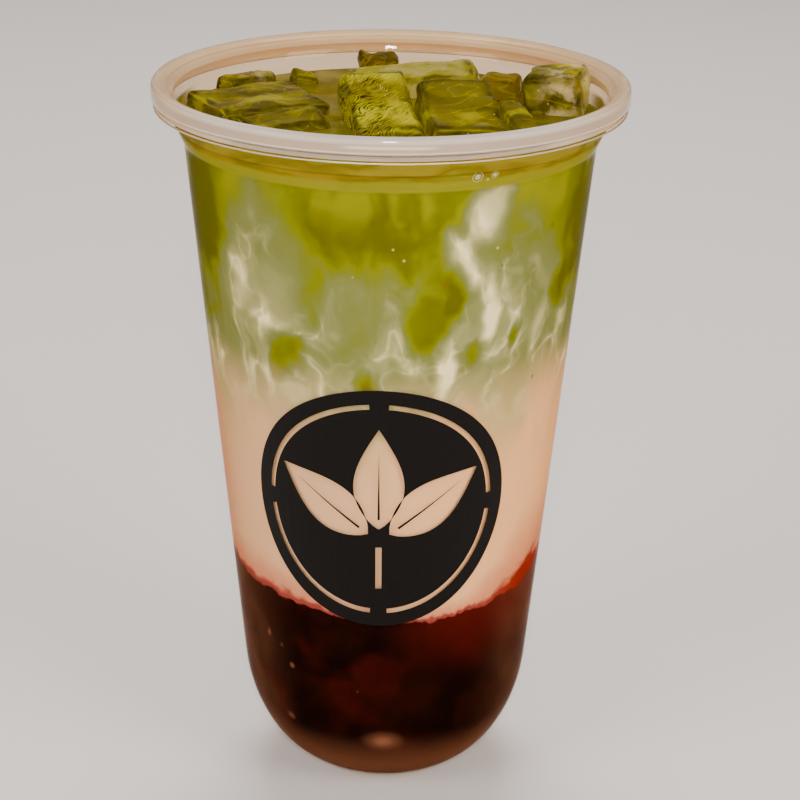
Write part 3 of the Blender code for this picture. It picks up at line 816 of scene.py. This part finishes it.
def ice_finish(kind):
    """Wet ice tinted by the drink: smooth, ridged, misty with a painted reflection, cloudy, crushed or
    amber, with painted highlights, glints and edge shade.
    """
    clear, even = ICE_KINDS[kind][:2]
    look = Look("ice_" + kind)
    block = look.attribute("block")
    across = look.parts(block)[0]
    edge = look.parts(look.attribute("edge"))[0]
    wander = look.warped(block, 6, 2.4)
    deep = look.noise(look.mapped(wander, size=(2.2, 1, 1)), 4.5, 3)
    cloudy = look.noise(look.warped(block, 3, 1.4), 4.5, 5, 0.6)
    specks = look.cells(wander, 1.3).smooth(0.24, 0.08) * look.noise(block, 5, 1).smooth(0.5, 0.6)
    # glow marks broad patches where a highlight is painted on the ice
    glow = look.noise(look.mapped(wander, size=(1.8, 1, 1)), 7, 1)
    colour = look.layered(
        "ice_dark",
        (deep.smooth(0.34, 0.58) * (1 - even) + even, "ice"),
        (glow.smooth(0.48, 0.66) * 0.8, "ice_pale_and_highlight"),
    )
    frost = cloudy.smooth(0.62, 0.74) * 0.08
    height = deep * 0.6
    grain = 0.16
    if kind == "ridged":
        fibre = look.mapped(look.warped(block, 5, 2.4), turn=(0.3, 0, 0.7), size=(2.6, 0.3, 1))
        ridges = look.noise(fibre, 1, 4, 0.6)
        rough = look.noise(block, 6, 2).smooth(0.4, 0.56)
        side = across.smooth(3, -2.5)
        colour = look.layered(
            "ice",
            # A highlight painted in broad patches
            (glow.smooth(0.38, 0.6) * 0.9, "ice_pale_and_highlight"),
            (ridges.smooth(0.54, 0.42) * (rough * 0.5 + side * 0.4 + 0.1), "ice_deep_and_edge_shade"),
            # Bright lines painted along the ridges as glints
            (ridges.smooth(0.6, 0.66) * 0.4, "ice_glint"),
        )
        frost = 0
        height = ridges * 0.25 + deep * 0.4
    # Misty ice is painted lighter and hazed in the frost colour, a painted reflection of the cup's wall
    elif kind == "misty":
        colour = look.mix(0.4, colour, "ice_pale_and_highlight")
        frost = cloudy.smooth(0.36, 0.6) * edge.smooth(0.96, 0.7) * 0.35
    elif kind == "cloudy":
        frost = cloudy.smooth(0.4, 0.6) * across.smooth(-3.6, 0.4) * edge.smooth(0.98, 0.8) * 0.75
        grain = 0.35
    elif kind == "crushed":
        colour = look.mix(cloudy.smooth(0.4, 0.6) * 0.7, "ice_dark", "ice_amber")
        grain = 0.4
    elif kind == "amber":
        colour = look.mix(0.7, colour, "ice_amber")
        grain = 0.3
    cracks = look.noise(look.mapped(block, turn=(0.2, 0.1, 0.4), size=(3, 1, 1)), 3.4, 1)
    broken = look.noise(block, 4, 2).smooth(0.4, 0.6)
    # Along each edge a dark line of painted shade and a bright line of painted highlight
    edge_shade_line = edge.smooth(0.74, 0.87) * edge.smooth(0.94, 0.88)
    edge_highlight_line = edge.smooth(0.91, 0.96) * edge.smooth(1.03, 0.99)
    colour = look.layered(
        colour,
        (frost, "ice_frost"),
        (specks * 0.8, "ice_dark"),
        ((cracks - 0.5).size().smooth(0.03, 0) * 0.3, "ice_pale_and_highlight"),
        (edge_shade_line * (broken * 0.5 + 0.3), "ice_deep_and_edge_shade"),
        (edge_highlight_line * (broken * 0.5 + 0.4), "ice_pale_and_highlight"),
        # Small glints painted in scattered points
        (look.cells(block, 2.2).smooth(0.08, 0.04) * 0.9, "ice_glint"),
    )
    look.finish(
        Base_Color=colour,
        Roughness=0.04 + cloudy.smooth(0.5, 0.7) * 0.08,
        IOR=1.18,
        Transmission_Weight=clear,
        Specular_IOR_Level=0.06,
        Normal=look.bump(height + look.noise(block, 1.4, 3) * grain, 0.7, 0.8),
    )
    return look.lets_lamps_through(0.7)


def bubble_finish():
    """Thin wet skin of a bubble."""
    look = Look("bubble_skin")
    swirl = look.noise(look.place(), 1.2, 2)
    colour = look.mix(swirl, "ice_pale_and_highlight", "ice_frost")
    look.finish(Base_Color=colour, Roughness=0.03, IOR=1.33, Transmission_Weight=0.9)
    return look.lets_lamps_through(0.7)


def ink_finish():
    """Printed ink with a faint satin grain."""
    look = Look("dark_ink")
    grain = look.noise(look.place(), 0.35, 2)
    return look.finish(
        Base_Color=look.mix(grain.smooth(0.3, 0.8) * 0.5, "ink", "ink_light"),
        Roughness=0.4 + grain * 0.16,
        Specular_IOR_Level=0.08,
        Normal=look.bump(grain, 0.01, 0.4),
    )


# Pieces


class CupBuilder:
    """What the operators share: the sizes and the cup's section."""

    def __init__(self):
        self.sizes = bpy.context.scene.latte_sizes
        self.outer = outer_wall()
        self.inner = inset(self.outer, self.sizes.wall)


class LATTE_OT_cup(bpy.types.Operator):
    """Turns the clear cup with its hazy rim"""

    bl_idname = "latte.cup"
    bl_label = "Cup"

    def execute(self, context):
        make = CupBuilder()
        mouth = [(radius * MM, height * MM) for radius, height in (MOUTH_MM, *RIM_MM)]
        inner = make.inner[:-1] + [(make.inner[-1][0], INNER_TOP_MM * MM)]
        solid = turned(inner + mouth + make.outer[::-1], make.sizes.facets)
        for face in solid.faces:
            middle = face.calc_center_median()
            radius = middle.xy.length
            skirt_lip = middle.z < SKIRT_HEIGHT and radius > make.outer[-1][0] + SKIRT_GAP
            dished = middle.z > RIM_HAZE_HEIGHT and radius > make.inner[-1][0] * NECK_SHARE
            if dished or skirt_lip:
                face.material_index = 2
            elif middle.z > make.sizes.drink_level + NECK_TINT_RISE and radius < make.outer[-1][0]:
                face.material_index = 1
        surfaces = (clear_plastic(), neck_plastic(), rim_plastic())
        piece = new_piece("cup_shell", solid, *surfaces)
        piece.data.set_sharp_from_angle(angle=CUP_SHARP)
        belongs(piece, "clear_plastic", "cup")
        return {"FINISHED"}


def uneven(x, y, level, swell, lumps, lump_size, seed):
    """The height of a surface that swells towards the wall and has lumps."""
    lump = noise.noise(Vector((x / lump_size, y / lump_size, seed)))
    return level + swell * math.hypot(x, y) / (SHOULDER_MM[0] * MM) + lumps * lump


def layer_mesh(make, low, high, shape_low, shape_high):
    """A solid that fills the cup between two levels and reaches just into its wall."""
    wall = inset(make.outer, make.sizes.wall - make.sizes.reach)
    floor = wall[0][1] if low is None else low
    side = [point for point in wall[1:] if floor < point[1] < high]
    rings = range(1, LAYER_RINGS)
    wide = radius_at(wall, high)
    profile = [(0.0, floor)]
    if low is not None:
        narrow = radius_at(wall, low)
        profile += [(narrow * ring / LAYER_RINGS, low) for ring in rings] + [(narrow, low)]
    profile += side + [(wide, high)]
    profile += [(wide * ring / LAYER_RINGS, high) for ring in reversed(rings)] + [(0.0, high)]
    solid = turned(profile, make.sizes.facets)
    for vertex in solid.verts:
        x, y, z = vertex.co
        shape = shape_low if abs(z - floor) < SAME else shape_high if abs(z - high) < SAME else None
        if shape:
            at_wall = math.hypot(x, y) > radius_at(wall, z) * WALL_SHARE
            vertex.co.z = shape(x, y)
            if at_wall:
                vertex.co.xy *= radius_at(wall, vertex.co.z) / math.hypot(x, y)
    return solid


class LATTE_OT_drink(bpy.types.Operator):
    """Fills the cup with jam, milk and matcha"""

    bl_idname = "latte.drink"
    bl_label = "Drink"

    def execute(self, context):
        make = CupBuilder()
        sizes = make.sizes

        def jam_top(x, y):
            swell = -JAM_SWELL * math.cos(2.0 * (math.atan2(x, -y) - JAM_DIP))
            return uneven(x, y, sizes.jam_level, swell, JAM_LUMPS, JAM_LUMP_SIZE, JAM_SEED)

        def milk_top(x, y):
            swell = MILK_SWELL * math.sin(3.0 * math.atan2(x, -y))
            return uneven(x, y, sizes.milk_level, swell, MILK_LUMPS, MILK_LUMP_SIZE, MILK_SEED)

        def meniscus(x, y):
            off_wall = (radius_at(make.inner, sizes.drink_level) - math.hypot(x, y)) / MM
            return sizes.drink_level + MENISCUS_HEIGHT * math.exp(-max(off_wall, 0.0) / MENISCUS_WIDTH_MM)

        levels = (
            ("berry_jam", None, sizes.jam_level, None, jam_top),
            ("milk", sizes.jam_level, sizes.milk_level, jam_top, milk_top),
            ("matcha", sizes.milk_level, sizes.drink_level, milk_top, meniscus),
        )
        for name, low, high, shape_low, shape_high in levels:
            solid = layer_mesh(make, low, high, shape_low, shape_high)
            surfaces = [layer_finish(name)]
            if name == "matcha":
                surfaces.append(surface_finish())
                for face in solid.faces:
                    if face.normal.z > 0.3 and face.calc_center_median().z > sizes.drink_level - MM:
                        face.material_index = 1
            piece = new_piece(name + "_fill", solid, *surfaces)
            piece.data.set_sharp_from_angle(angle=DRINK_SHARP)
            belongs(piece, name, name)
        return {"FINISHED"}


def wave_at(point):
    """A vector of smooth lumps at a point of noise space."""
    return Vector([noise.noise(point + Vector(shift)) for shift in ICE_WAVE_SHIFTS])


def ice_block(size, angles, top, rounding, craggy, seed, wall):
    """A melted block of ice in its place, with its own coordinates and how near each point is to an edge."""
    length, width, depth = (side * MM for side in size)
    block = bmesh.new()
    own = block.verts.layers.float_vector.new("block")
    near = block.verts.layers.float.new("edge")
    stretched = Matrix.Diagonal((length, width, depth, 1.0)) @ Matrix.Translation((0.0, 0.0, -0.5))
    bmesh.ops.create_cube(block, size=1.0, matrix=stretched)
    melt = {"offset": rounding * ICE_MELT * MM, "segments": 5, "profile": 0.5, "affect": "EDGES"}
    bmesh.ops.bevel(block, geom=block.edges[:], material=-1, **melt)
    for cuts, shortest in ICE_CUTS:
        long_edges = [edge for edge in block.edges if edge.calc_length() > shortest * MM]
        bmesh.ops.subdivide_edges(block, edges=long_edges, cuts=cuts, use_grid_fill=True)
    bmesh.ops.triangulate(block, faces=[face for face in block.faces if len(face.verts) > 4])
    middle = Vector((0.0, 0.0, -depth / 2))
    for vertex in block.verts:
        off = vertex.co - middle
        shares = sorted(abs(part) / half for part, half in zip(off, (length / 2, width / 2, depth / 2)))
        vertex[near] = shares[1]
        vertex[own] = vertex.co / MM + Vector((0.0, 0.0, seed))
        wave = wave_at(vertex.co / ICE_WAVE_SIZE + Vector((seed, 0.0, 0.0)))
        ripple = wave_at(vertex.co / ICE_RIPPLE_SIZE + Vector((0.0, seed, 0.0)))
        outward = Vector((off.x / length, off.y / width, off.z / depth)).normalized()
        vertex.co += outward * ICE_SWELL + wave * ICE_UNEVEN + ripple * craggy * MM
    turn = Euler([math.radians(angle) for angle in (angles[1], angles[2], angles[0])], "XYZ")
    bmesh.ops.transform(block, matrix=Matrix.LocRotScale(Vector(top) * MM, turn, None), verts=block.verts[:])
    for vertex in block.verts:
        vertex.co.z = min(vertex.co.z, CAD_BOX[1][2])
        limit = radius_at(wall, vertex.co.z)
        if vertex.co.xy.length > limit:
            vertex.co.xy *= limit / vertex.co.xy.length
    bmesh.ops.recalc_face_normals(block, faces=block.faces[:])
    return block


class LATTE_OT_ice(bpy.types.Operator):
    """Sets the melted ice in the drink"""

    bl_idname = "latte.ice"
    bl_label = "Ice"

    def execute(self, context):
        make = CupBuilder()
        wall = inset(make.outer, make.sizes.wall + ICE_OFF_WALL)
        finishes = {kind: ice_finish(kind) for kind in sorted({row[1] for row in ICE})}
        for seed, (name, kind, top, size, angles, rounding) in enumerate(ICE):
            solid = ice_block(size, angles, top, rounding, ICE_KINDS[kind][2], seed * ICE_SEED_STEP, wall)
            piece = new_piece(name + "_melted", solid, finishes[kind])
            belongs(piece, "tinted_ice", name)
        return {"FINISHED"}


class LATTE_OT_bubbles(bpy.types.Operator):
    """Floats bubbles on the drink between the ice"""

    bl_idname = "latte.bubbles"
    bl_label = "Bubbles"

    def execute(self, context):
        solid = bmesh.new()
        for place, radius, squash in BUBBLES:
            turn = Matrix.LocRotScale(Vector(place) * MM, None, Vector((1.0, 1.0, squash)))
            bmesh.ops.create_uvsphere(solid, u_segments=28, v_segments=16, radius=radius * MM, matrix=turn)
        piece = new_piece("bubbles", solid, bubble_finish())
        belongs(piece, "tinted_ice")
        return {"FINISHED"}


def arc(radius, start, end):
    """Points of an arc about the badge's middle, from one angle to another."""
    steps = max(2, round(abs(end - start) / ARC_STEP))
    angles = [start + (end - start) * count / steps for count in range(steps + 1)]
    return [(radius * math.cos(angle), radius * math.sin(angle)) for angle in angles]


def leaf(lean):
    """A pointed leaf that leans to one side of the sprig, and its middle vein."""
    side = []
    for step in range(LEAF_STEPS + 1):
        along = step / LEAF_STEPS
        half = LEAF_WIDTH / 2 * math.sin(math.pi * along**LEAF_FULLNESS)
        side.append((half, LEAF_START + LEAF_LENGTH * along))
    outline = side + [(-half, up) for half, up in side[-2:0:-1]]
    low, high = (LEAF_START + LEAF_LENGTH * end for end in VEIN_ENDS)
    vein = [(-VEIN_WIDTH / 2, low), (VEIN_WIDTH / 2, low), (0.0, high)]
    turn = Matrix.Rotation(-lean, 2)
    foot = Vector((0.0, SPRIG_HEIGHT))
    return [[turn @ Vector(point) + foot for point in line] for line in (outline, vein)]


def badge_outlines(radius):
    """The round field, then each opening in it: the ring's arcs, the veined leaves and the stalk."""
    full = 2.0 * math.pi
    outlines = [arc(radius, 0.0, full)[:-1]]
    for index in range(RING_ARCS):
        start = full * index / RING_ARCS + RING_BRIDGE / 2
        end = full * (index + 1) / RING_ARCS - RING_BRIDGE / 2
        outlines.append(arc(RING_RADIUS, start, end) + arc(RING_RADIUS - RING_WIDTH, end, start))
    for lean in (-LEAF_SPREAD, 0.0, LEAF_SPREAD):
        outlines += leaf(lean)
    top = SPRIG_HEIGHT - STALK_WIDTH
    half = STALK_WIDTH / 2
    outlines.append([(-half, top - STALK_LENGTH), (half, top - STALK_LENGTH), (half, top), (-half, top)])
    return outlines


class LATTE_OT_badge(bpy.types.Operator):
    """Prints the badge on the front of the cup"""

    bl_idname = "latte.badge"
    bl_label = "Badge"

    def execute(self, context):
        make = CupBuilder()
        curve = bpy.data.curves.new("badge_outline", "CURVE")
        curve.dimensions = "2D"
        curve.fill_mode = "BOTH"
        curve.extrude = BADGE_THICKNESS / 2
        for outline in badge_outlines(make.sizes.badge_radius):
            spline = curve.splines.new("POLY")
            spline.points.add(len(outline) - 1)
            for point, (across, up) in zip(spline.points, outline):
                point.co = (across, up, 0.0, 1.0)
            spline.use_cyclic_u = True
        flat = bpy.data.objects.new("badge_outline", curve)
        bpy.context.scene.collection.objects.link(flat)
        filled = flat.evaluated_get(bpy.context.evaluated_depsgraph_get())
        flat_mesh = bpy.data.meshes.new_from_object(filled)
        bpy.data.objects.remove(flat, do_unlink=True)
        skin = bmesh.new()
        skin.from_mesh(flat_mesh)
        bmesh.ops.remove_doubles(skin, verts=skin.verts[:], dist=SAME)
        middle = radius_at(make.outer, BADGE_HEIGHT)
        for across, step, steps in BADGE_CUTS:
            for line in range(-steps, steps + 1):
                geometry = skin.verts[:] + skin.edges[:] + skin.faces[:]
                place = [line * step * MM * part for part in across]
                bmesh.ops.bisect_plane(skin, geom=geometry, dist=1e-7, plane_co=place, plane_no=across)
        for vertex in skin.verts:
            angle = vertex.co.x / middle + BADGE_TURN
            height = BADGE_HEIGHT + vertex.co.y
            radius = radius_at(make.outer, height) + BADGE_LIFT + vertex.co.z
            vertex.co = (radius * math.sin(angle), -radius * math.cos(angle), height)
        bmesh.ops.recalc_face_normals(skin, faces=skin.faces[:])
        piece = new_piece("badge_print", skin, ink_finish(), smooth=False)
        belongs(piece, "dark_ink", "badge")
        return {"FINISHED"}


# Stage


def aimed(name, data, place, aim, roll=0.0):
    """A lamp or a camera that looks from a place at a point, rolled about its line of sight."""
    made = bpy.data.objects.new(name, data)
    made.location = place
    turn = (aim - place).to_track_quat("-Z", "Y").to_matrix()
    made.rotation_euler = (turn @ Matrix.Rotation(roll, 3, "Z")).to_euler()
    bpy.context.scene.collection.objects.link(made)
    return made


class LATTE_OT_stage(bpy.types.Operator):
    """Sets up the floor, the lamps and the camera"""

    bl_idname = "latte.stage"
    bl_label = "Stage"

    def execute(self, context):
        solid = bmesh.new()
        bmesh.ops.create_grid(solid, x_segments=8, y_segments=8, size=FLOOR_SIZE)
        look = Look("floor")
        grain = look.noise(look.place(), 40.0, 3.0)
        colour = look.mix(grain * 0.25, "floor", "floor_grain")
        floor = new_piece("floor", solid, look.finish(Base_Color=colour, Roughness=0.7))
        floor.location.z = -FLOOR_DROP

        world = bpy.data.worlds.new("studio")
        world.use_nodes = True
        sky = world.node_tree.nodes["Background"].inputs
        sky["Color"].default_value = SKY
        sky["Strength"].default_value = SKY_STRENGTH
        bpy.context.scene.world = world

        for name, place, width, height, power, colour, glossy in LAMPS:
            lamp = bpy.data.lights.new(name, "AREA")
            lamp.shape = "RECTANGLE"
            lamp.size = width
            lamp.size_y = height
            lamp.energy = power
            lamp.color = colour
            aimed(name, lamp, Vector(place), LAMP_AIM).visible_glossy = glossy

        lens = bpy.data.cameras.new("camera")
        lens.lens = CAMERA_LENS
        lens.clip_start = CAMERA_NEAR
        bpy.context.scene.camera = aimed("camera", lens, CAMERA_PLACE, CAMERA_AIM, CAMERA_ROLL)
        return {"FINISHED"}


class LATTE_PT_panel(bpy.types.Panel):
    """The sidebar panel with the sizes, the colours and each step of the drink."""

    bl_label = "Iced matcha latte"
    bl_space_type = "VIEW_3D"
    bl_region_type = "UI"
    bl_category = "Latte"

    def draw(self, context):
        column = self.layout.column()
        for group in (context.scene.latte_sizes, context.scene.latte_colours):
            for name in group.bl_rna.properties.keys():
                if name not in ("rna_type", "name"):
                    column.prop(group, name)
        for step in STEPS:
            column.operator(step.bl_idname)


STEPS = (LATTE_OT_stage, LATTE_OT_cup, LATTE_OT_drink, LATTE_OT_ice, LATTE_OT_bubbles, LATTE_OT_badge)
CLASSES = (LatteSizes, LatteColours, *STEPS, LATTE_PT_panel)


def register():
    """Adds the groups, the operators and the panel."""
    for made in CLASSES:
        bpy.utils.register_class(made)
    bpy.types.Scene.latte_sizes = PointerProperty(type=LatteSizes)
    bpy.types.Scene.latte_colours = PointerProperty(type=LatteColours)


def unregister():
    """Removes the groups, the operators and the panel."""
    del bpy.types.Scene.latte_sizes
    del bpy.types.Scene.latte_colours
    for made in reversed(CLASSES):
        bpy.utils.unregister_class(made)


def main():
    """Builds the stage and every piece."""
    register()
    for step in STEPS:
        group, name = step.bl_idname.split(".")
        getattr(getattr(bpy.ops, group), name)()


if __name__ == "__main__":
    main()
